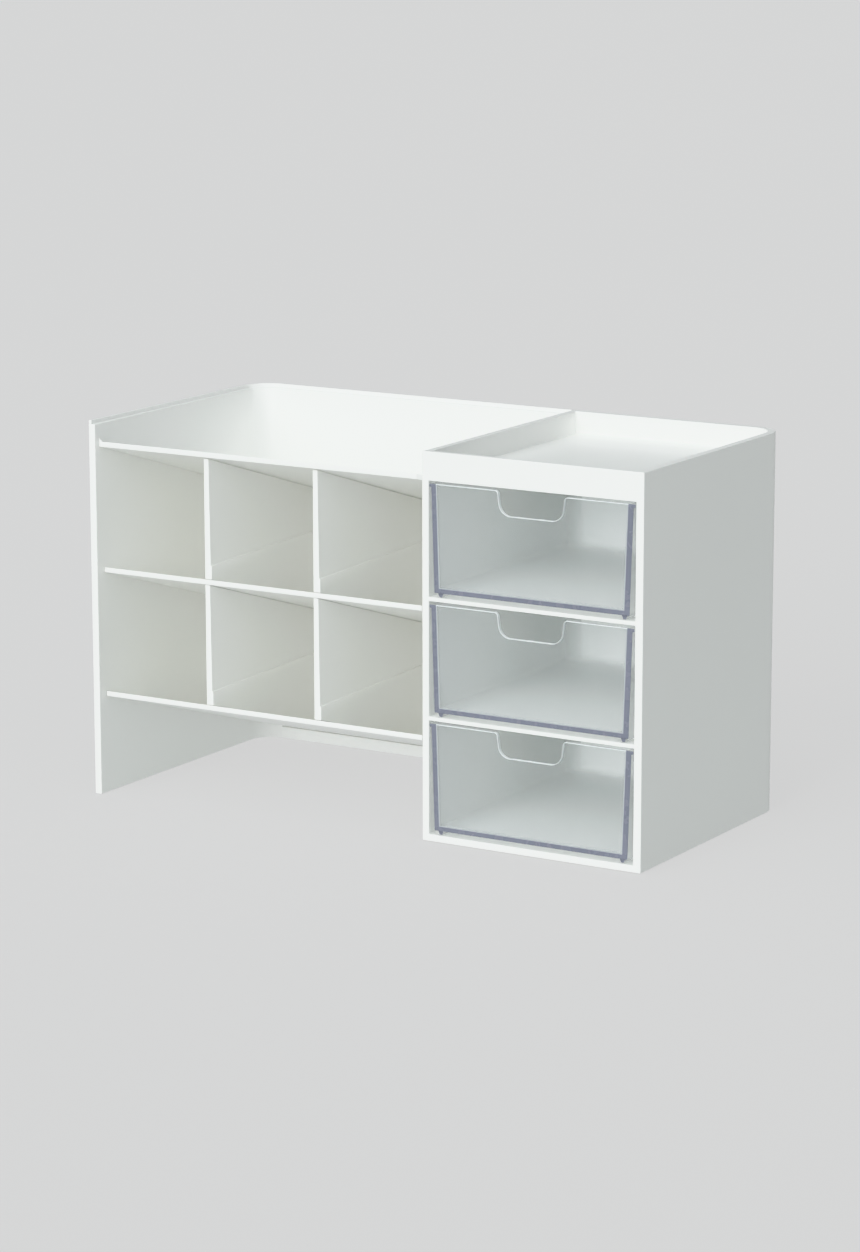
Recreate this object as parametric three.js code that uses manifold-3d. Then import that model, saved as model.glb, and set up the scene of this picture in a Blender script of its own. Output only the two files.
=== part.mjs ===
// Desk organizer: a side and back shell with sloping shelves and dividers, beside a cabinet with three
// pull-out drawers and a tray on top. Millimetres, +Z up, the fronts face -Y.
import * as THREE from 'three';
import { mergeVertices } from 'three/addons/utils/BufferGeometryUtils.js';
import Module from 'manifold-3d';

const wasm = await Module();
wasm.setup();

// ---------------------------------------------------------------- driving dimensions
// Every piece is laid out from the left panel's outer face (x), the cabinet's front (y) and the desk (z).
const WIDTH = 360;
const HEIGHT = 222;
const CABINET_DEPTH = 171;
const PANEL_REACH = 6.4;          // the side panel stands this far in front of the cabinet's front
const CORNER_RADIUS = 18;         // outer radius of both rear vertical corners
const GAP = 0.3;                  // clearance between neighbouring pieces
const ARC_STEPS = 12;
const WELD = 1e-4;                // corners closer than this are one corner
const OVERCUT = 1;                // how far a cutting shape runs past what it cuts

const SHELL_WALL = 4.4;
const LIP_WALL = 1.9;             // the rim's outer lip, which leaves a ledge inside it
const LIP_HEIGHT = 2.2;

const CABINET_LEFT = 221.3;
const LEFT_WALL = 4.2;
const OUTER_WALL = 4.7;
const FOOT_HEIGHT = 0.6;          // the rubber pads lift the cabinet's base this far off the desk
const BASE_THICKNESS = 3.9;
const FASCIA_BOTTOM = 205.7;
const FASCIA_THICKNESS = 4.2;
const TRAY_FLOOR = 2.8;
const DECK_THICKNESS = 2.3;
const DECK_TOPS = { lower: 72.3, upper: 140.3 };

const SHELF_SLOPE = THREE.MathUtils.degToRad(16.8);
const SHELF_THICKNESS = 3.0;      // measured straight down
const SHELVES = {
  top: { frontZ: 209.5, frontY: -2.8 },
  middle: { frontZ: 135.0, frontY: 0 },
  bottom: { frontZ: 61.1, frontY: 0 },
};
const DIVIDER_LEFTS = { left: 75.8, right: 149.6 };
const DIVIDER_TOP_WIDTH = 3.1;
const DIVIDER_ROOT_WIDTH = 3.8;
const FOOT_WIDTH = 4.5;           // the divider's thicker foot
const FOOT_RISE = 8.2;            // height of the foot's step above the shelf, at the front
const STEP_SLOPE = THREE.MathUtils.degToRad(1.7);
const TOP_SEAM = 0.6;             // the open seam between the upper dividers and the top shelf

const DRAWER_DEPTH = 160;
const DRAWER_REAR_RADIUS = 15;
const DRAWER_TOP_HALF = 63.3;
const DRAWER_BOTTOM_HALF = 61.3;
const DRAWER_WALL = 3.1;
const DRAWER_FRONT = 2.4;
const DRAWER_FLOOR = 2.6;
const DRAWER_LIFT = 2.7;          // the drawer's floor rides this far above its deck
const DRAWER_TOP = 63.9;          // the drawer's rim above its deck
const RIM_REACH = 1.1;            // the rim's flange stands this far out of each side
const RIM_DEPTH = 1.8;
const RUNNER_OFFSET = 57.8;
const RUNNER_TOP_WIDTH = 3.8;
const RUNNER_FOOT_WIDTH = 1.7;
const RUNNER_FRONT = 1.2;
const RUNNER_LENGTH = 150;
const RUNNER_ROOT = 1;            // how far each runner reaches up into the drawer's floor
const NOTCH = { topHalf: 20.9, bottomHalf: 19.0, depth: 13.8, topRadius: 2.2, bottomRadius: 7 };

const PAD_RADIUS = 5;
const PAD_THICKNESS = 1.6;
const PAD_INSET = 13;
const PAD_SIDES = 32;

// ---------------------------------------------------------------- derived places
const BACK = CABINET_DEPTH;
const SHELL_INSIDE_BACK = BACK - SHELL_WALL;
const OPENING_LEFT = CABINET_LEFT + LEFT_WALL;
const OPENING_RIGHT = WIDTH - OUTER_WALL;
const OPENING_BACK = BACK - OUTER_WALL;
const DRAWER_CENTRE = (OPENING_LEFT + OPENING_RIGHT) / 2;
const BASE_TOP = FOOT_HEIGHT + BASE_THICKNESS;

// ---------------------------------------------------------------- materials
const finish = (color, roughness) => (name) => {
  const material = new THREE.MeshStandardMaterial({ color, roughness, metalness: 0 });
  material.name = name;
  return material;
};

const white = finish(0xf2f3f1, 0.42);
const clear = finish(0xc4cbdc, 0.2);
const rubber = finish(0x8a8c8c, 0.85);

// ---------------------------------------------------------------- solid helpers
function toSolid(geometry) {
  const bare = geometry.clone();
  bare.deleteAttribute('normal');
  bare.deleteAttribute('uv');
  const merged = mergeVertices(bare, WELD);
  const vertProperties = new Float32Array(merged.attributes.position.array);
  const triVerts = new Uint32Array(merged.index.array);
  return new wasm.Manifold(new wasm.Mesh({ numProp: 3, vertProperties, triVerts }));
}

function toMesh(name, solid, material) {
  const result = solid.getMesh();
  const geometry = new THREE.BufferGeometry();
  geometry.setAttribute('position', new THREE.BufferAttribute(new Float32Array(result.vertProperties), 3));
  geometry.setIndex(new THREE.BufferAttribute(new Uint32Array(result.triVerts), 1));
  geometry.computeVertexNormals();
  const mesh = new THREE.Mesh(geometry, material(name));
  mesh.name = name;
  return mesh;
}

function polygon(points) {
  return new THREE.Shape(points.map(([u, v]) => new THREE.Vector2(u, v)));
}

function extrude(shape, depth) {
  return new THREE.ExtrudeGeometry(shape, { depth, bevelEnabled: false, curveSegments: ARC_STEPS });
}

// A plan outline (x, y) raised from one height to another.
function raise(shape, low, high) {
  return toSolid(extrude(shape, high - low).translate(0, 0, low));
}

// A side profile (y, z) swept from left to right.
function sweepAcross(shape, left, right) {
  const basis = new THREE.Matrix4().makeBasis(
    new THREE.Vector3(0, 1, 0),
    new THREE.Vector3(0, 0, 1),
    new THREE.Vector3(1, 0, 0),
  );
  return toSolid(extrude(shape, right - left).applyMatrix4(basis).translate(left, 0, 0));
}

// A front profile (x, z) swept from front to back.
function sweepBack(shape, front, back) {
  const basis = new THREE.Matrix4().makeBasis(
    new THREE.Vector3(1, 0, 0),
    new THREE.Vector3(0, 0, 1),
    new THREE.Vector3(0, -1, 0),
  );
  return toSolid(extrude(shape, back - front).applyMatrix4(basis).translate(0, back, 0));
}

function box(low, high) {
  const size = new THREE.Vector3().subVectors(new THREE.Vector3(...high), new THREE.Vector3(...low));
  const geometry = new THREE.BoxGeometry(size.x, size.y, size.z);
  return toSolid(geometry.translate(low[0] + size.x / 2, low[1] + size.y / 2, low[2] + size.z / 2));
}

function disc(radius, x, y, low, high) {
  const geometry = new THREE.CylinderGeometry(radius, radius, high - low, PAD_SIDES);
  return toSolid(geometry.rotateX(Math.PI / 2).translate(x, y, (low + high) / 2));
}

// ---------------------------------------------------------------- side and back shell
function shellOutline(wall) {
  const end = CABINET_LEFT - GAP;
  const bend = BACK - CORNER_RADIUS;
  const shape = new THREE.Shape();
  shape.moveTo(0, -PANEL_REACH);
  shape.lineTo(0, bend);
  shape.absarc(CORNER_RADIUS, bend, CORNER_RADIUS, Math.PI, Math.PI / 2, true);
  shape.lineTo(end, BACK);
  shape.lineTo(end, BACK - wall);
  shape.lineTo(CORNER_RADIUS, BACK - wall);
  shape.absarc(CORNER_RADIUS, bend, CORNER_RADIUS - wall, Math.PI / 2, Math.PI, false);
  shape.lineTo(wall, -PANEL_REACH);
  shape.closePath();
  return shape;
}

function sideBackShell() {
  const ledge = HEIGHT - LIP_HEIGHT;
  const walls = raise(shellOutline(SHELL_WALL), 0, ledge);
  const lip = raise(shellOutline(LIP_WALL), ledge - LIP_HEIGHT, HEIGHT);
  return toMesh('side_back_shell', walls.add(lip), white);
}

// ---------------------------------------------------------------- sloping shelves and dividers
function shelfTop(shelf, y) {
  return shelf.frontZ - (y - shelf.frontY) * Math.tan(SHELF_SLOPE);
}

function shelfUnderside(shelf, y) {
  return shelfTop(shelf, y) - SHELF_THICKNESS;
}

// The plan that a shelf fills: rounded where it meets the shell's rear corner.
function shelfPlan(frontY) {
  const left = SHELL_WALL + GAP;
  const back = SHELL_INSIDE_BACK - GAP;
  const right = CABINET_LEFT - GAP;
  const bend = BACK - CORNER_RADIUS;
  const shape = new THREE.Shape();
  shape.moveTo(left, frontY);
  shape.lineTo(left, bend);
  shape.absarc(CORNER_RADIUS, bend, CORNER_RADIUS - left, Math.PI, Math.PI / 2, true);
  shape.lineTo(right, back);
  shape.lineTo(right, frontY);
  shape.closePath();
  return shape;
}

function slopingShelf(level) {
  const shelf = SHELVES[level];
  const slab = polygon([
    [shelf.frontY, shelfUnderside(shelf, shelf.frontY)],
    [BACK, shelfUnderside(shelf, BACK)],
    [BACK, shelfTop(shelf, BACK)],
    [shelf.frontY, shelf.frontZ],
  ]);
  const solid = sweepAcross(slab, 0, WIDTH).intersect(raise(shelfPlan(shelf.frontY), -HEIGHT, HEIGHT));
  return toMesh(`shelf_${level}`, solid, white);
}

function divider(name, left, below, above, seam) {
  const back = SHELL_INSIDE_BACK - GAP;
  const low = (y) => shelfTop(below, y) + GAP;
  const high = (y) => shelfUnderside(above, y) - seam;
  const step = (y) => below.frontZ + FOOT_RISE + y * Math.tan(STEP_SLOPE);
  const side = polygon([[0, low(0)], [back, low(back)], [back, high(back)], [0, high(0)]]);
  const sheet = sweepAcross(side, 0, WIDTH);
  const draft = polygon([
    [left, low(back)],
    [left + DIVIDER_ROOT_WIDTH, low(back)],
    [left + DIVIDER_ROOT_WIDTH, step(0)],
    [left + DIVIDER_TOP_WIDTH, high(0)],
    [left, high(0)],
  ]);
  const web = sweepBack(draft, 0, back).intersect(sheet);
  const footProfile = polygon([[0, low(0)], [back, low(back)], [back, step(back)], [0, step(0)]]);
  const foot = sweepAcross(footProfile, left, left + FOOT_WIDTH).intersect(sheet);
  return toMesh(name, web.add(foot), white);
}

function cubbyUnit() {
  const group = new THREE.Group();
  for (const level of Object.keys(SHELVES)) {
    group.add(slopingShelf(level));
  }
  for (const [side, left] of Object.entries(DIVIDER_LEFTS)) {
    group.add(divider(`divider_upper_${side}`, left, SHELVES.middle, SHELVES.top, TOP_SEAM));
    group.add(divider(`divider_lower_${side}`, left, SHELVES.bottom, SHELVES.middle, GAP));
  }
  return group;
}

// ---------------------------------------------------------------- cabinet
// The plan between the cabinet's walls, rounded at the rear right.
function openingPlan() {
  const left = OPENING_LEFT + GAP;
  const right = OPENING_RIGHT - GAP;
  const back = OPENING_BACK - GAP;
  const bend = BACK - CORNER_RADIUS;
  const centreX = WIDTH - CORNER_RADIUS;
  const shape = new THREE.Shape();
  shape.moveTo(left, 0);
  shape.lineTo(right, 0);
  shape.lineTo(right, bend);
  shape.absarc(centreX, bend, right - centreX, 0, Math.PI / 2, false);
  shape.lineTo(left, back);
  shape.closePath();
  return shape;
}

function outerShellPlan() {
  const left = OPENING_LEFT + GAP;
  const bend = BACK - CORNER_RADIUS;
  const centreX = WIDTH - CORNER_RADIUS;
  const shape = new THREE.Shape();
  shape.moveTo(WIDTH, 0);
  shape.lineTo(WIDTH, bend);
  shape.absarc(centreX, bend, CORNER_RADIUS, 0, Math.PI / 2, false);
  shape.lineTo(left, BACK);
  shape.lineTo(left, OPENING_BACK);
  shape.lineTo(centreX, OPENING_BACK);
  shape.absarc(centreX, bend, CORNER_RADIUS - OUTER_WALL, Math.PI / 2, 0, true);
  shape.lineTo(OPENING_RIGHT, 0);
  shape.closePath();
  return shape;
}

function cabinetLeftWall() {
  const shoulder = FASCIA_THICKNESS + GAP;
  const profile = polygon([
    [0, FOOT_HEIGHT],
    [BACK, FOOT_HEIGHT],
    [BACK, HEIGHT],
    [shoulder, HEIGHT],
    [shoulder, FASCIA_BOTTOM - GAP],
    [0, FASCIA_BOTTOM - GAP],
  ]);
  return toMesh('cabinet_left_wall', sweepAcross(profile, CABINET_LEFT, OPENING_LEFT), white);
}

function cabinetOuterShell() {
  const walls = raise(outerShellPlan(), FOOT_HEIGHT, HEIGHT);
  const seat = box(
    [OPENING_LEFT, -OVERCUT, FASCIA_BOTTOM - GAP],
    [WIDTH + OVERCUT, FASCIA_THICKNESS + GAP, HEIGHT + OVERCUT],
  );
  return toMesh('cabinet_outer_shell', walls.subtract(seat), white);
}

function padPlaces() {
  const places = [];
  for (const [row, y] of [['front', PAD_INSET], ['rear', OPENING_BACK - PAD_INSET]]) {
    for (const [side, x] of [['left', OPENING_LEFT + PAD_INSET], ['right', OPENING_RIGHT - PAD_INSET]]) {
      places.push({ name: `foot_pad_${row}_${side}`, x, y });
    }
  }
  return places;
}

function cabinetBase() {
  let solid = raise(openingPlan(), FOOT_HEIGHT, BASE_TOP);
  for (const { x, y } of padPlaces()) {
    solid = solid.subtract(disc(PAD_RADIUS + GAP, x, y, 0, PAD_THICKNESS + GAP));
  }
  return toMesh('cabinet_base', solid, white);
}

function footPads() {
  const group = new THREE.Group();
  for (const { name, x, y } of padPlaces()) {
    group.add(toMesh(name, disc(PAD_RADIUS, x, y, 0, PAD_THICKNESS), rubber));
  }
  return group;
}

function drawerDecks() {
  const group = new THREE.Group();
  for (const [level, top] of Object.entries(DECK_TOPS)) {
    group.add(toMesh(`drawer_deck_${level}`, raise(openingPlan(), top - DECK_THICKNESS, top), white));
  }
  return group;
}

function topTray() {
  const floor = raise(openingPlan(), FASCIA_BOTTOM, FASCIA_BOTTOM + TRAY_FLOOR);
  const fascia = box([CABINET_LEFT, 0, FASCIA_BOTTOM], [WIDTH, FASCIA_THICKNESS, HEIGHT]);
  return toMesh('top_tray', floor.add(fascia), white);
}

// ---------------------------------------------------------------- drawers
// Half the drawer's width at a height above its deck, without the rim's flange.
function drawerHalf(z) {
  const taper = (DRAWER_TOP_HALF - DRAWER_BOTTOM_HALF) / (DRAWER_TOP - DRAWER_LIFT);
  return DRAWER_BOTTOM_HALF + (z - DRAWER_LIFT) * taper;
}

// The drawer's plan, centred on x = 0: square at the front, rounded at the back.
function drawerPlan(half, front, back, radius) {
  const shape = new THREE.Shape();
  shape.moveTo(-half, front);
  shape.lineTo(half, front);
  shape.lineTo(half, back - radius);
  shape.absarc(half - radius, back - radius, radius, 0, Math.PI / 2, false);
  shape.lineTo(radius - half, back);
  shape.absarc(radius - half, back - radius, radius, Math.PI / 2, Math.PI, false);
  shape.closePath();
  return shape;
}

// A block with the drawer's tapering sides, inset from the drawer's outside.
function taperedBlock(inset, front, back, low, high) {
  const half = drawerHalf(high) - inset;
  const plan = drawerPlan(half, front, back, DRAWER_REAR_RADIUS - inset);
  const geometry = extrude(plan, high - low).translate(0, 0, low);
  const places = geometry.attributes.position;
  for (let i = 0; i < places.count; i += 1) {
    const scale = (drawerHalf(places.getZ(i)) - inset) / half;
    places.setX(i, places.getX(i) * scale);
  }
  return toSolid(geometry);
}

function notchProfile() {
  const { topHalf, bottomHalf, depth, topRadius, bottomRadius } = NOTCH;
  const floor = DRAWER_TOP - depth;
  const lean = Math.atan2(topHalf - bottomHalf, depth);
  const cornerX = bottomHalf - bottomRadius * Math.tan((Math.PI / 2 - lean) / 2);
  const shoulderX = topHalf + topRadius * Math.tan((Math.PI / 2 - lean) / 2);
  const shape = new THREE.Shape();
  shape.moveTo(-shoulderX, DRAWER_TOP + OVERCUT);
  shape.lineTo(-shoulderX, DRAWER_TOP);
  shape.absarc(-shoulderX, DRAWER_TOP - topRadius, topRadius, Math.PI / 2, lean, true);
  shape.absarc(-cornerX, floor + bottomRadius, bottomRadius, Math.PI + lean, 1.5 * Math.PI, false);
  shape.lineTo(cornerX, floor);
  shape.absarc(cornerX, floor + bottomRadius, bottomRadius, 1.5 * Math.PI, 2 * Math.PI - lean, false);
  shape.absarc(shoulderX, DRAWER_TOP - topRadius, topRadius, Math.PI - lean, Math.PI / 2, true);
  shape.lineTo(shoulderX, DRAWER_TOP + OVERCUT);
  shape.closePath();
  return shape;
}

function runnerProfile(x) {
  return polygon([
    [x - RUNNER_TOP_WIDTH / 2, DRAWER_LIFT + RUNNER_ROOT],
    [x - RUNNER_TOP_WIDTH / 2, DRAWER_LIFT],
    [x - RUNNER_FOOT_WIDTH / 2, GAP],
    [x + RUNNER_FOOT_WIDTH / 2, GAP],
    [x + RUNNER_TOP_WIDTH / 2, DRAWER_LIFT],
    [x + RUNNER_TOP_WIDTH / 2, DRAWER_LIFT + RUNNER_ROOT],
  ]);
}

function drawer(name, deckTop) {
  const outside = taperedBlock(0, 0, DRAWER_DEPTH, DRAWER_LIFT, DRAWER_TOP);
  const floor = DRAWER_LIFT + DRAWER_FLOOR;
  const rear = DRAWER_DEPTH - DRAWER_WALL;
  const cavity = taperedBlock(DRAWER_WALL, DRAWER_FRONT, rear, floor, DRAWER_TOP + OVERCUT);
  const rimHalf = DRAWER_TOP_HALF + RIM_REACH;
  const rimPlan = drawerPlan(rimHalf, 0, DRAWER_DEPTH, DRAWER_REAR_RADIUS + RIM_REACH);
  const rim = raise(rimPlan, DRAWER_TOP - RIM_DEPTH, DRAWER_TOP);
  let solid = outside.add(rim);
  for (const side of [-1, 1]) {
    const profile = runnerProfile(side * RUNNER_OFFSET);
    solid = solid.add(sweepBack(profile, RUNNER_FRONT, RUNNER_FRONT + RUNNER_LENGTH));
  }
  const notch = sweepBack(notchProfile(), -OVERCUT, DRAWER_FRONT + OVERCUT);
  solid = solid.subtract(cavity).subtract(notch);
  const mesh = toMesh(name, solid, clear);
  mesh.position.set(DRAWER_CENTRE, 0, deckTop);
  return mesh;
}

function drawers() {
  const group = new THREE.Group();
  group.add(drawer('drawer_bottom', BASE_TOP));
  group.add(drawer('drawer_middle', DECK_TOPS.lower));
  group.add(drawer('drawer_top', DECK_TOPS.upper));
  return group;
}

// ---------------------------------------------------------------- assembly
function cabinet() {
  const group = new THREE.Group();
  group.add(cabinetLeftWall());
  group.add(cabinetOuterShell());
  group.add(cabinetBase());
  group.add(drawerDecks());
  group.add(topTray());
  group.add(footPads());
  group.add(drawers());
  return group;
}

// The origin is on the desk, under the middle of the whole organizer.
const organizer = new THREE.Group();
organizer.add(sideBackShell());
organizer.add(cubbyUnit());
organizer.add(cabinet());
organizer.position.set(-WIDTH / 2, -(CABINET_DEPTH - PANEL_REACH) / 2, 0);
organizer.updateMatrixWorld(true);

export default organizer;
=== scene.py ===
import math

import bmesh
import bpy
from mathutils import Matrix, Vector


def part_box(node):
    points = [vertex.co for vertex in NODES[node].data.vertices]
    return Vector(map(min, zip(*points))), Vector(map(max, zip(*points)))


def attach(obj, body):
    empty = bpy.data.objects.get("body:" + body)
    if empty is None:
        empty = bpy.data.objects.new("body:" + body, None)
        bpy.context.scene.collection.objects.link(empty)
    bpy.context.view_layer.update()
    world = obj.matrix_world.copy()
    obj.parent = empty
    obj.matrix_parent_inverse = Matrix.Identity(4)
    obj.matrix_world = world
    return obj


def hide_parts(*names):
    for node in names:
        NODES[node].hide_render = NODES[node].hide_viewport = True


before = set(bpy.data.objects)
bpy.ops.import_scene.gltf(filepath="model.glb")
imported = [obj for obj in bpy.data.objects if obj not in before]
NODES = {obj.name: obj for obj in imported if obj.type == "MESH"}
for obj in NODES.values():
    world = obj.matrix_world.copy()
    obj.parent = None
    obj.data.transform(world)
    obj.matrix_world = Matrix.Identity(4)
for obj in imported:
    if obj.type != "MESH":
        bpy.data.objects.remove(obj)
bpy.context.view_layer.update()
MM = 0.001
ROOT = "organizer_body"
WHITE_SLOT = "white_plastic"

# ------------------------------------------------------------------ node helpers


def material(name):
    """A new material with a bare Principled shader: it, its node tree, the shader, the output."""
    mat = bpy.data.materials.new(name)
    mat.use_nodes = True
    nt = mat.node_tree
    nt.nodes.clear()
    out = nt.nodes.new("ShaderNodeOutputMaterial")
    shader = nt.nodes.new("ShaderNodeBsdfPrincipled")
    nt.links.new(shader.outputs[0], out.inputs["Surface"])
    return mat, nt, shader, out


def noise(nt, scale, detail=2.0):
    """Noise in the piece's own coordinates."""
    coords = nt.nodes.new("ShaderNodeTexCoord")
    node = nt.nodes.new("ShaderNodeTexNoise")
    node.inputs["Scale"].default_value = scale
    node.inputs["Detail"].default_value = detail
    nt.links.new(coords.outputs["Object"], node.inputs["Vector"])
    return node.outputs["Fac"]


def spread(nt, socket, low, high):
    """The middle of a noise, stretched to run from low to high."""
    node = nt.nodes.new("ShaderNodeMapRange")
    node.inputs["From Min"].default_value = 0.3
    node.inputs["From Max"].default_value = 0.7
    node.inputs["To Min"].default_value = low
    node.inputs["To Max"].default_value = high
    nt.links.new(socket, node.inputs["Value"])
    return node.outputs["Result"]


def depth_fade(nt, front, back):
    """0 at the front of the cabinet, 1 at its back, in the piece's own coordinates."""
    coords = nt.nodes.new("ShaderNodeTexCoord")
    split = nt.nodes.new("ShaderNodeSeparateXYZ")
    nt.links.new(coords.outputs["Object"], split.inputs[0])
    node = nt.nodes.new("ShaderNodeMapRange")
    node.interpolation_type = "SMOOTHSTEP"
    node.inputs["From Min"].default_value = front
    node.inputs["From Max"].default_value = back
    nt.links.new(split.outputs["Y"], node.inputs["Value"])
    return node.outputs["Result"]


def blend_colours(nt, factor, a, b):
    """Colour a where the factor is 0, colour b where it is 1."""
    node = nt.nodes.new("ShaderNodeMix")
    node.data_type = "RGBA"
    node.inputs["A"].default_value = (*a, 1)
    node.inputs["B"].default_value = (*b, 1)
    nt.links.new(factor, node.inputs["Factor"])
    return node.outputs["Result"]


def bump(nt, shader, layers):
    """Stacked bumps, each (height socket, strength, distance in metres)."""
    last = None
    for height, strength, distance in layers:
        node = nt.nodes.new("ShaderNodeBump")
        node.inputs["Strength"].default_value = strength
        node.inputs["Distance"].default_value = distance
        nt.links.new(height, node.inputs["Height"])
        if last is not None:
            nt.links.new(last, node.inputs["Normal"])
        last = node.outputs["Normal"]
    nt.links.new(last, shader.inputs["Normal"])


# ------------------------------------------------------------------ materials


def white_plastic():
    """Injection-moulded white plastic: satin, with a very fine grain and faint flow marks."""
    mat, nt, shader, _ = material("white_plastic")
    tone = spread(nt, noise(nt, 9.0, 3.0), 0.0, 1.0)
    colour = blend_colours(nt, tone, (0.94, 0.942, 0.926), (0.948, 0.95, 0.934))
    nt.links.new(colour, shader.inputs["Base Color"])
    nt.links.new(spread(nt, noise(nt, 260.0, 4.0), 0.36, 0.46), shader.inputs["Roughness"])
    shader.inputs["IOR"].default_value = 1.49
    bump(nt, shader, [
        (noise(nt, 14.0, 1.0), 0.12, 0.0004),
        (noise(nt, 2600.0, 2.0), 0.06, 0.00003),
    ])
    return mat


def let_light_in(nt, shader, out):
    """Lets shadow and diffuse rays pass the plastic, so that the drawers' insides are lit."""
    path = nt.nodes.new("ShaderNodeLightPath")
    either = nt.nodes.new("ShaderNodeMath")
    either.operation = "MAXIMUM"
    nt.links.new(path.outputs["Is Shadow Ray"], either.inputs[0])
    nt.links.new(path.outputs["Is Diffuse Ray"], either.inputs[1])
    through = nt.nodes.new("ShaderNodeBsdfTransparent")
    through.inputs["Color"].default_value = (0.994, 0.996, 0.998, 1)
    mix = nt.nodes.new("ShaderNodeMixShader")
    nt.links.new(either.outputs[0], mix.inputs[0])
    nt.links.new(shader.outputs[0], mix.inputs[1])
    nt.links.new(through.outputs[0], mix.inputs[2])
    nt.links.new(mix.outputs[0], out.inputs["Surface"])


def front_plastic():
    """Clear drawer plastic with a light frost, which blurs what lies behind it."""
    mat, nt, shader, out = material("drawer_front_plastic")
    tone = spread(nt, noise(nt, 12.0, 2.0), 0.0, 1.0)
    colour = blend_colours(nt, tone, (0.955, 0.972, 0.98), (0.965, 0.98, 0.988))
    nt.links.new(colour, shader.inputs["Base Color"])
    nt.links.new(spread(nt, noise(nt, 180.0, 3.0), 0.1, 0.13), shader.inputs["Roughness"])
    shader.inputs["IOR"].default_value = 1.46
    shader.inputs["Transmission Weight"].default_value = 0.98
    bump(nt, shader, [(noise(nt, 900.0, 2.0), 0.05, 0.00004)])
    let_light_in(nt, shader, out)
    return mat


def tub_plastic(name, rear_colour, opacity):
    """The same plastic behind the front, where its frosted skin shows milky. Its colour runs from a
    light front colour to rear_colour towards the back; for the tub walls rear_colour is darker,
    painted shade for the drawer's deep inside.
    """
    mat, nt, shader, out = material(name)
    colour = blend_colours(nt, depth_fade(nt, -0.04, 0.06), (0.8, 0.815, 0.82), rear_colour)
    nt.links.new(colour, shader.inputs["Base Color"])
    nt.links.new(spread(nt, noise(nt, 180.0, 3.0), 0.34, 0.42), shader.inputs["Roughness"])
    shader.inputs["IOR"].default_value = 1.46
    shader.inputs["Alpha"].default_value = opacity
    bump(nt, shader, [(noise(nt, 900.0, 2.0), 0.05, 0.00004)])
    let_light_in(nt, shader, out)
    return mat


def tinted_and_painted_shade_edge():
    """Dark blue-violet painted on the wall ends seen end on through the front: partly the tint of
    thick clear plastic, partly painted shade for the light that does not come through the wall's
    length.
    """
    mat, nt, shader, _ = material("drawer_wall_ends_painted_shade")
    tone = spread(nt, noise(nt, 30.0, 2.0), 0.0, 1.0)
    colour = blend_colours(nt, tone, (0.222, 0.234, 0.288), (0.242, 0.254, 0.312))
    nt.links.new(colour, shader.inputs["Base Color"])
    nt.links.new(spread(nt, noise(nt, 200.0, 2.0), 0.22, 0.3), shader.inputs["Roughness"])
    bump(nt, shader, [(noise(nt, 700.0, 2.0), 0.05, 0.00004)])
    return mat


def painted_highlight_rims():
    """The cut and moulded rims of the drawer fronts, painted near white: a painted highlight for
    the light they catch.
    """
    mat, nt, shader, _ = material("drawer_rims_painted_highlight")
    tone = spread(nt, noise(nt, 60.0, 2.0), 0.0, 1.0)
    colour = blend_colours(nt, tone, (0.76, 0.79, 0.81), (0.84, 0.86, 0.88))
    nt.links.new(colour, shader.inputs["Base Color"])
    nt.links.new(spread(nt, noise(nt, 200.0, 2.0), 0.2, 0.3), shader.inputs["Roughness"])
    bump(nt, shader, [(noise(nt, 900.0, 2.0), 0.05, 0.00004)])
    return mat


def inner_painted_highlight():
    """A painted highlight: the soft light line where the front meets the inner faces of the walls
    and floor.
    """
    mat, nt, shader, _ = material("drawer_inner_corners_painted_highlight")
    tone = spread(nt, noise(nt, 60.0, 2.0), 0.0, 1.0)
    colour = blend_colours(nt, tone, (0.44, 0.47, 0.49), (0.5, 0.53, 0.55))
    nt.links.new(colour, shader.inputs["Base Color"])
    nt.links.new(spread(nt, noise(nt, 200.0, 2.0), 0.3, 0.4), shader.inputs["Roughness"])
    bump(nt, shader, [(noise(nt, 900.0, 2.0), 0.05, 0.00004)])
    return mat


def pad_rubber():
    """Plain dark rubber."""
    mat, nt, shader, _ = material("foot_rubber")
    tone = spread(nt, noise(nt, 400.0, 3.0), 0.0, 1.0)
    colour = blend_colours(nt, tone, (0.07, 0.072, 0.072), (0.11, 0.112, 0.112))
    nt.links.new(colour, shader.inputs["Base Color"])
    nt.links.new(spread(nt, noise(nt, 700.0, 2.0), 0.7, 0.9), shader.inputs["Roughness"])
    bump(nt, shader, [(noise(nt, 1500.0, 2.0), 0.3, 0.00008)])
    return mat


def floor_paper():
    """A pale lit floor. Part of its brightness is its own, so shadows on it stay faint, and it
    throws a little less of that light on the object than it shows."""
    mat, nt, shader, _ = material("studio_floor")
    tone = spread(nt, noise(nt, 0.6, 2.0), 0.0, 1.0)
    colour = blend_colours(nt, tone, (0.127, 0.127, 0.127), (0.13, 0.13, 0.13))
    nt.links.new(colour, shader.inputs["Base Color"])
    shader.inputs["Roughness"].default_value = 0.9
    shader.inputs["Specular IOR Level"].default_value = 0.0
    path = nt.nodes.new("ShaderNodeLightPath")
    glow = blend_colours(nt, path.outputs["Is Diffuse Ray"], (1, 1, 1), (0.845, 0.884, 0.874))
    nt.links.new(glow, shader.inputs["Emission Color"])
    shader.inputs["Emission Strength"].default_value = 0.602
    mat.cycles.emission_sampling = "NONE"
    return mat


WHITE = white_plastic()
CLEAR = front_plastic()
# The tub walls turn darker towards the back: painted shade for the drawer's deep inside.
MILKY_PAINTED_SHADE = tub_plastic("drawer_tub_plastic_painted_shade", (0.56, 0.6, 0.62), 0.35)
REAR = tub_plastic("drawer_rear_plastic", (0.95, 0.97, 0.98), 0.6)
# The wall ends' colour: the plastic's tint, partly painted shade.
TINTED_PAINTED_SHADE = tinted_and_painted_shade_edge()
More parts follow.
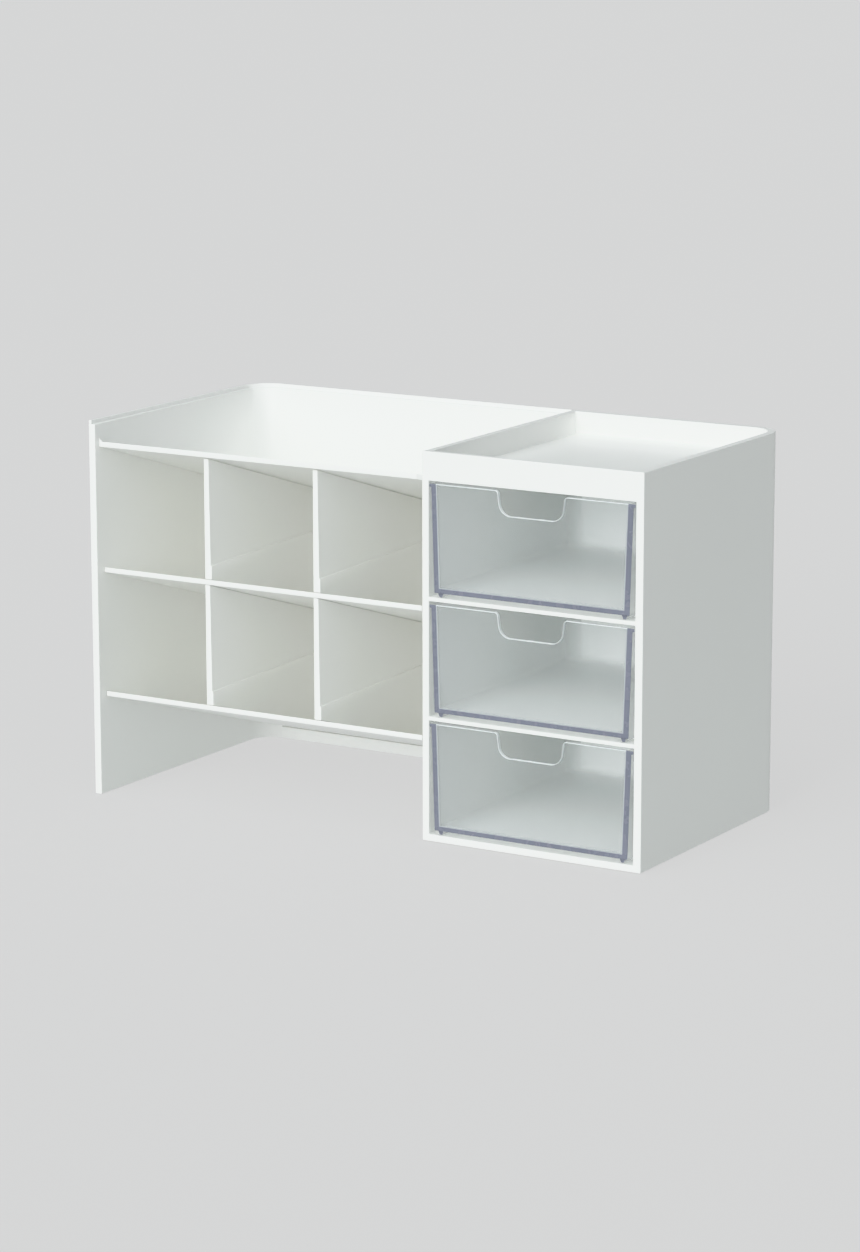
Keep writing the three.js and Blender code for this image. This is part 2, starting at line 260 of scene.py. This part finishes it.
# The rims' painted highlight.
BRIGHT_PAINTED_HIGHLIGHT = painted_highlight_rims()
# The painted highlight along the front's inner edges.
INNER_PAINTED_HIGHLIGHT = inner_painted_highlight()
RUBBER = pad_rubber()

# ------------------------------------------------------------------ mesh helpers
EDGE_RADIUS = 0.5 * MM


def cleaned(bm):
    """Joins the model's triangles back into its flat faces."""
    bmesh.ops.remove_doubles(bm, verts=bm.verts, dist=3e-6)
    bmesh.ops.dissolve_limit(
        bm, angle_limit=math.radians(0.3), verts=bm.verts, edges=bm.edges
    )
    return bm


def from_node(name):
    """A working copy of a node's mesh."""
    bm = bmesh.new()
    bm.from_mesh(NODES[name].data)
    return cleaned(bm)


def new_object(name, bm, mats):
    """A smooth-shaded object made from bm, which is used up."""
    mesh = bpy.data.meshes.new(name)
    bm.normal_update()
    bm.to_mesh(mesh)
    bm.free()
    for mat in mats:
        mesh.materials.append(mat)
    mesh.polygons.foreach_set("use_smooth", [True] * len(mesh.polygons))
    obj = bpy.data.objects.new(name, mesh)
    bpy.context.scene.collection.objects.link(obj)
    return obj


def round_edges(obj, width, segments=3, angle=28, harden=True):
    """Rounds the edges sharper than angle (in degrees)."""
    edges = obj.modifiers.new("rounded_edges", "BEVEL")
    edges.width = width
    edges.segments = segments
    edges.limit_method = "ANGLE"
    edges.angle_limit = math.radians(angle)
    edges.use_clamp_overlap = False
    edges.harden_normals = harden
    return obj


def applied(obj):
    """Turns the object's modifiers into its mesh."""
    shown = obj.evaluated_get(bpy.context.evaluated_depsgraph_get())
    mesh = bpy.data.meshes.new_from_object(shown)
    obj.modifiers.clear()
    obj.data = mesh
    return obj


def place(obj, body, slot, *nodes):
    """Makes obj a piece that rides on body and stands in for the nodes."""
    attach(obj, body)
    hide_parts(*nodes)
    return obj


def moulding(node, width=EDGE_RADIUS):
    """A white moulding: the node's own shape with its edges rounded."""
    obj = round_edges(new_object(node + "_moulding", from_node(node), [WHITE]), width)
    return place(obj, ROOT, WHITE_SLOT, node)


def prism(profile, front, back):
    """A front outline (x, z) carried from front to back."""
    bm = bmesh.new()
    face = bm.faces.new([bm.verts.new((x, front, z)) for x, z in profile])
    rear = bmesh.ops.extrude_face_region(bm, geom=[face])
    moved = [v for v in rear["geom"] if isinstance(v, bmesh.types.BMVert)]
    bmesh.ops.translate(bm, vec=(0, back - front, 0), verts=moved)
    bmesh.ops.recalc_face_normals(bm, faces=bm.faces)
    return bm


def block(low, high):
    """A box between two opposite corners."""
    bm = bmesh.new()
    bmesh.ops.create_cube(bm, size=1)
    size = Vector(high) - Vector(low)
    middle = (Vector(high) + Vector(low)) / 2
    fit = Matrix.Translation(middle) @ Matrix.Diagonal((*size, 1))
    bmesh.ops.transform(bm, matrix=fit, verts=bm.verts)
    return bm


def slab(outline, low, high):
    """A plan outline raised from one height to another."""
    bm = bmesh.new()
    bottom = bm.faces.new([bm.verts.new((x, y, low)) for x, y in outline])
    top = bmesh.ops.extrude_face_region(bm, geom=[bottom])
    moved = [v for v in top["geom"] if isinstance(v, bmesh.types.BMVert)]
    bmesh.ops.translate(bm, vec=(0, 0, high - low), verts=moved)
    bmesh.ops.recalc_face_normals(bm, faces=bm.faces)
    return bm


def arc(centre, radius, start, end, steps=16):
    """Points along an arc, with its two angles in degrees."""
    points = []
    for i in range(steps + 1):
        a = math.radians(start + (end - start) * i / steps)
        points.append((centre[0] + radius * math.cos(a), centre[1] + radius * math.sin(a)))
    return points


def in_fixed_order(mesh):
    """A working copy with its points and faces sorted by place. The solver that joined uses gives
    the same faces on every run, but not always in the same order."""
    bm = bmesh.new()
    verts = {spot: bm.verts.new(spot) for spot in sorted(tuple(v.co) for v in mesh.vertices)}
    outlines = []
    for face in mesh.polygons:
        spots = [tuple(mesh.vertices[i].co) for i in face.vertices]
        first = spots.index(min(spots))
        outlines.append(spots[first:] + spots[:first])
    for outline in sorted(outlines):
        bm.faces.new([verts[spot] for spot in outline])
    return bm


def joined(name, solids, cut=(), sort=False):
    """One solid from several overlapping ones, less those in cut."""
    first = new_object(name, solids[0], [])
    tools = []
    steps = [(solid, "UNION") for solid in solids[1:]]
    steps += [(solid, "DIFFERENCE") for solid in cut]
    for bm, operation in steps:
        tool = new_object(name + "_tool", bm, [])
        step = first.modifiers.new("join", "BOOLEAN")
        step.operation = operation
        step.solver = "MANIFOLD"
        step.object = tool
        tools.append(tool)
    applied(first)
    for tool in tools:
        bpy.data.objects.remove(tool)
    if sort:
        bm = in_fixed_order(first.data)
    else:
        bm = bmesh.new()
        bm.from_mesh(first.data)
    bpy.data.objects.remove(first)
    return cleaned(bm)


# ------------------------------------------------------------------ shelf and shell
SHELF_EDGE_RADIUS = 0.2 * MM
CATCH_WIDTH = 1.6 * MM
CATCH_RISE = 0.6 * MM
CATCH_DEPTH = 1.4 * MM
CATCH_ROOT = 1.5 * MM          # how far the catch reaches down into the shelf
TIP_WIDTH = 0.45 * MM
TIP_RISE = 1.9 * MM
SHELF_STRETCH = 0.8 * MM       # carries the shelf's right end into the cabinet's wall
NOSE_CUT_WIDTH = 2.2 * MM      # the slanted end of the shelf's front edge, seen from above
NOSE_CUT_DEPTH = 2.8 * MM
SHELL_RADIUS = 18 * MM
GROOVE_LIP = 0.65 * MM         # the part of the groove that shows under the shelf
GROOVE_HIDDEN = 0.8 * MM
GROOVE_OVERLAP = 0.5 * MM
GROOVE_DEPTH = 3.2 * MM


def catch(lo, hi):
    """A low step with a thin tip, at the left end of the shelf's front edge."""
    root = hi.z - CATCH_ROOT
    outline = [(0, root), (CATCH_WIDTH, root), (CATCH_WIDTH, hi.z + CATCH_RISE)]
    outline += [(0.6 * MM, hi.z + 0.9 * MM), (TIP_WIDTH, hi.z + TIP_RISE), (0, hi.z + TIP_RISE)]
    return prism([(lo.x + x, z) for x, z in outline], lo.y, lo.y + CATCH_DEPTH)


def nose_cut(end, lo, hi):
    """The wedge that slants the right end of the shelf's front edge."""
    before, after = 0.5, 0.2
    left = end - (1 + before) * NOSE_CUT_WIDTH
    right = end + after * NOSE_CUT_WIDTH
    front = lo.y - before * NOSE_CUT_DEPTH
    rear = lo.y + (1 + after) * NOSE_CUT_DEPTH
    return slab([(left, front), (right, front), (right, rear)], lo.z, hi.z + MM)


def top_shelf():
    """The top shelf, whose right end runs into the cabinet's wall without a step."""
    lo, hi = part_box("shelf_top")
    plain = from_node("shelf_top")
    for vert in plain.verts:
        if vert.co.x > hi.x - 0.1 * MM:
            vert.co.x += SHELF_STRETCH
    wedge = nose_cut(hi.x + SHELF_STRETCH, lo, hi)
    shelf = joined("shelf", [plain, catch(lo, hi)], cut=[wedge])
    obj = new_object("shelf_top_moulding", shelf, [WHITE])
    round_edges(obj, SHELF_EDGE_RADIUS)
    return place(obj, ROOT, WHITE_SLOT, "shelf_top")


def side_and_back():
    """The side and back shell, with the groove in its back wall under the bottom shelf's end."""
    lo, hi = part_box("side_back_shell")
    shelf_lo, shelf_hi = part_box("shelf_bottom")
    groove = block(
        (lo.x + SHELL_RADIUS, shelf_hi.y - GROOVE_OVERLAP, shelf_lo.z - GROOVE_LIP),
        (hi.x + MM, shelf_hi.y + GROOVE_DEPTH, shelf_lo.z + GROOVE_HIDDEN),
    )
    shell = joined("shell", [from_node("side_back_shell")], cut=[groove])
    obj = new_object("side_back_shell_moulding", shell, [WHITE])
    round_edges(obj, EDGE_RADIUS)
    return place(obj, ROOT, WHITE_SLOT, "side_back_shell")


# ------------------------------------------------------------------ cabinet carcass
CABINET_WALL = 4.7 * MM
CABINET_RADIUS = 18 * MM
TRAY_FLOOR = 2.8 * MM
FASCIA_THICKNESS = 4.2 * MM
JOIN = 0.5 * MM                # how far decks and fascia run into the walls


def cabinet_carcass():
    """The cabinet's walls, decks, base and tray as the one seamless moulding that they look."""
    left_lo, left_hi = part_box("cabinet_left_wall")
    shell_lo, shell_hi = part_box("cabinet_outer_shell")
    wall, radius = CABINET_WALL, CABINET_RADIUS
    left, right = left_lo.x, shell_hi.x
    front, back = left_lo.y, shell_hi.y
    foot, top = shell_lo.z, shell_hi.z
    inner_left, inner_right = left_hi.x, right - wall
    corner = (right - radius, back - radius)
    outer = [(left, front), (right, front)] + arc(corner, radius, 0, 90) + [(left, back)]
    inner = [(inner_left, front - wall), (inner_right, front - wall)]
    inner += arc(corner, radius - wall, 0, 90) + [(inner_left, back - wall)]
    floor_plan = [(inner_left - JOIN, front), (inner_right + JOIN, front)]
    floor_plan += arc(corner, radius - wall + JOIN, 0, 90)
    floor_plan += [(inner_left - JOIN, back - wall + JOIN)]
    hollow = slab(inner, foot - wall, top + wall)
    tube = joined("walls", [slab(outer, foot, top)], cut=[hollow], sort=True)
    levels = []
    for node in ("cabinet_base", "drawer_deck_lower", "drawer_deck_upper"):
        lo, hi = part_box(node)
        levels.append(slab(floor_plan, lo.z, hi.z))
    tray_lo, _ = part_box("top_tray")
    levels.append(slab(floor_plan, tray_lo.z, tray_lo.z + TRAY_FLOOR))
    fascia = block(
        (left + JOIN, front, tray_lo.z), (right - JOIN, front + FASCIA_THICKNESS, top)
    )
    carcass = joined("carcass", [tube, fascia] + levels, sort=True)
    obj = round_edges(new_object("cabinet_carcass", carcass, [WHITE]), EDGE_RADIUS)
    nodes = ["cabinet_left_wall", "cabinet_outer_shell", "cabinet_base", "drawer_deck_lower"]
    nodes += ["drawer_deck_upper", "top_tray"]
    return place(obj, ROOT, WHITE_SLOT, *nodes)


# ------------------------------------------------------------------ drawers
SIDE_WALL = 3.1 * MM
DRAWER_FLOOR = 2.6 * MM
FRONT_WALL = 2.4 * MM
DRAWER_LIFT = 2.7 * MM
TOP_HALF = 63.3 * MM
BOTTOM_HALF = 61.3 * MM
RIM_HEIGHT = 63.9 * MM
RUNNER_GAP = 0.3 * MM
NOTCH_DEPTH = 13.8 * MM
# width of the painted highlight line inside the front's edges
LIGHT_LINE = 0.6 * MM
JUST = 0.05 * MM               # a face this close to a boundary counts as on it
SKIN = 0.4 * MM                # faces within this of the front are the front face
NOTCH_MARGIN = 0.6 * MM
RUNNER_NOSE = 1.3 * MM
REAR_START = 155 * MM
DRAWER_EDGE_RADIUS = 0.35 * MM
DRAWER_MATERIALS = [CLEAR, TINTED_PAINTED_SHADE, BRIGHT_PAINTED_HIGHLIGHT, MILKY_PAINTED_SHADE, INNER_PAINTED_HIGHLIGHT, REAR]
LEAN = (TOP_HALF - BOTTOM_HALF) / (RIM_HEIGHT - DRAWER_LIFT)


def split_front(bm, front, centre, underside, inset):
    """Cuts the front face along the inner faces of the floor and side walls, moved in by inset."""
    floor = underside + DRAWER_FLOOR + inset
    half = BOTTOM_HALF - SIDE_WALL - inset
    planes = [((0, 0, floor), (0, 0, 1))]
    planes += [((centre + side * half, 0, underside), (side, 0, -LEAN)) for side in (-1, 1)]
    for point, normal in planes:
        near = [f for f in bm.faces if f.calc_center_median().y < front + SKIN]
        geom = near + list(dict.fromkeys(e for f in near for e in f.edges))
        geom += list(dict.fromkeys(v for f in near for v in f.verts))
        bmesh.ops.bisect_plane(bm, geom=geom, plane_co=point, plane_no=normal)


def drawer_material(face, front, centre, underside, rim):
    """The material for one face of a drawer, with painted shade on the milky walls and wall ends
    and a painted highlight on the rims and inner edges.
    """
    middle = face.calc_center_median()
    across = abs(middle.x - centre)
    half = BOTTOM_HALF - SIDE_WALL + (middle.z - underside) * LEAN
    floor = underside + DRAWER_FLOOR
    if middle.y > front + REAR_START:
        return REAR
    if middle.y > front + FRONT_WALL + JUST:
        return MILKY_PAINTED_SHADE
    inside = across < half - JUST and middle.z > floor + JUST
    in_notch_rows = middle.z > rim - NOTCH_DEPTH - NOTCH_MARGIN
    if inside and in_notch_rows and abs(face.normal.y) < 0.93:
        return BRIGHT_PAINTED_HIGHLIGHT
    on_face = middle.y < front + SKIN
    if on_face and not inside:
        return TINTED_PAINTED_SHADE
    on_nose = middle.y < front + RUNNER_NOSE and middle.z < underside
    if on_nose and face.normal.y < -0.3:
        return TINTED_PAINTED_SHADE
    if on_face and (across > half - LIGHT_LINE or middle.z < floor + LIGHT_LINE):
        return INNER_PAINTED_HIGHLIGHT
    return CLEAR


def drawer(level):
    """A frosted tub. Its wall ends are painted blue-violet, partly the plastic's tint and partly
    painted shade, and its rims are painted near white as a painted highlight.
    """
    node = "drawer_" + level
    lo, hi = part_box(node)
    centre = (lo.x + hi.x) / 2
    front = lo.y
    underside = lo.z - RUNNER_GAP + DRAWER_LIFT
    obj = new_object(node + "_tub", from_node(node), DRAWER_MATERIALS)
    applied(round_edges(obj, DRAWER_EDGE_RADIUS, segments=2, harden=False))
    bm = bmesh.new()
    bm.from_mesh(obj.data)
    for inset in (0, LIGHT_LINE):
        split_front(bm, front, centre, underside, inset)
    for face in bm.faces:
        mat = drawer_material(face, front, centre, underside, hi.z)
        face.material_index = DRAWER_MATERIALS.index(mat)
    bm.to_mesh(obj.data)
    bm.free()
    flat = obj.modifiers.new("flat_faces", "WEIGHTED_NORMAL")
    flat.weight = 100
    return place(obj, level + "_drawer_body", "drawer_plastic", node)


# ------------------------------------------------------------------ all pieces
DIVIDER_EDGE_RADIUS = 0.17 * MM   # small enough for the narrow step near the divider's foot
PAD_EDGE_RADIUS = 0.4 * MM

side_and_back()
top_shelf()
for level in ("middle", "bottom"):
    moulding("shelf_" + level)
for row in ("upper", "lower"):
    for side in ("left", "right"):
        moulding(f"divider_{row}_{side}", DIVIDER_EDGE_RADIUS)
cabinet_carcass()
for level in ("top", "middle", "bottom"):
    drawer(level)
for end in ("front", "rear"):
    for side in ("left", "right"):
        node = f"foot_pad_{end}_{side}"
        pad = new_object(node + "_rubber", from_node(node), [RUBBER])
        round_edges(pad, PAD_EDGE_RADIUS, angle=50)
        place(pad, ROOT, "foot_rubber", node)

# ------------------------------------------------------------------ studio
FLOOR_HALF = 40
FLOOR_DROP = 0.2 * MM
SKY_AXIS = (0.0, -0.4, 0.9165)   # towards the brightest part of the room's light
SKY_DIM = 0.2
SKY_BRIGHT = 1.12
KEY_COLOUR = (1.0, 0.992, 1.0)
FILL_COLOUR = (0.87, 1.0, 0.985)
SENSOR_HEIGHT = 36               # this and the lens in millimetres
LENS = 115.13
CAMERA_PLACE = (1.1720, -1.9415, 0.5846)
CAMERA_TURN = 31.192             # the camera's three angles, in degrees
CAMERA_DOWN = 11.965
CAMERA_ROLL = -0.074


def studio_floor():
    """A wide flat floor, just under the object's feet."""
    bm = bmesh.new()
    bmesh.ops.create_grid(bm, x_segments=2, y_segments=2, size=FLOOR_HALF)
    bmesh.ops.translate(bm, vec=(0, 0, -FLOOR_DROP), verts=bm.verts)
    obj = new_object("studio_floor", bm, [floor_paper()])


def sun(name, azimuth, elevation, strength, softness, colour):
    """A soft sun. Its azimuth is 0 straight in front and positive to the right; both in degrees."""
    data = bpy.data.lights.new(name, "SUN")
    data.energy = strength
    data.angle = math.radians(softness)
    data.color = colour
    obj = bpy.data.objects.new(name, data)
    obj.rotation_euler = (math.radians(90 - elevation), 0, math.radians(azimuth))
    bpy.context.scene.collection.objects.link(obj)


def studio_light():
    """A dim room brightest overhead, two soft suns in front of the object and one at its side."""
    world = bpy.data.worlds.new("studio")
    world.use_nodes = True
    nt = world.node_tree
    shade = nt.nodes["Background"]
    coords = nt.nodes.new("ShaderNodeTexCoord")
    towards = nt.nodes.new("ShaderNodeVectorMath")
    towards.operation = "DOT_PRODUCT"
    towards.inputs[1].default_value = SKY_AXIS
    nt.links.new(coords.outputs["Generated"], towards.inputs[0])
    height = nt.nodes.new("ShaderNodeMapRange")
    height.interpolation_type = "SMOOTHSTEP"
    height.inputs["From Min"].default_value = 0.25
    height.inputs["From Max"].default_value = 1.0
    height.inputs["To Min"].default_value = SKY_DIM
    height.inputs["To Max"].default_value = SKY_BRIGHT
    nt.links.new(towards.outputs["Value"], height.inputs["Value"])
    nt.links.new(height.outputs["Result"], shade.inputs["Strength"])
    shade.inputs["Color"].default_value = (0.945, 0.99, 0.995, 1)
    bpy.context.scene.world = world
    sun("key", azimuth=-3, elevation=28, strength=0.9, softness=34, colour=KEY_COLOUR)
    sun("low_key", azimuth=0, elevation=12, strength=0.7, softness=20, colour=KEY_COLOUR)
    sun("fill", azimuth=50, elevation=15, strength=0.12, softness=60, colour=FILL_COLOUR)


def view_camera():
    """A long lens to the right of the cabinet's front, a little above it."""
    data = bpy.data.cameras.new("camera")
    data.sensor_fit = "VERTICAL"
    data.sensor_height = SENSOR_HEIGHT
    data.lens = LENS
    data.clip_end = 200
    obj = bpy.data.objects.new("camera", data)
    place_at = Matrix.Translation(CAMERA_PLACE)
    turn = Matrix.Rotation(math.radians(CAMERA_TURN), 4, "Z")
    pitch = Matrix.Rotation(math.radians(90 - CAMERA_DOWN), 4, "X")
    roll = Matrix.Rotation(math.radians(CAMERA_ROLL), 4, "Z")
    obj.matrix_world = place_at @ turn @ pitch @ roll
    bpy.context.scene.collection.objects.link(obj)
    bpy.context.scene.camera = obj


studio_floor()
studio_light()
view_camera()
scene = bpy.context.scene
scene.view_settings.view_transform = "Khronos PBR Neutral"
scene.cycles.diffuse_bounces = 14
scene.cycles.max_bounces = 22
scene.cycles.transparent_max_bounces = 64
scene.cycles.sample_clamp_indirect = 4
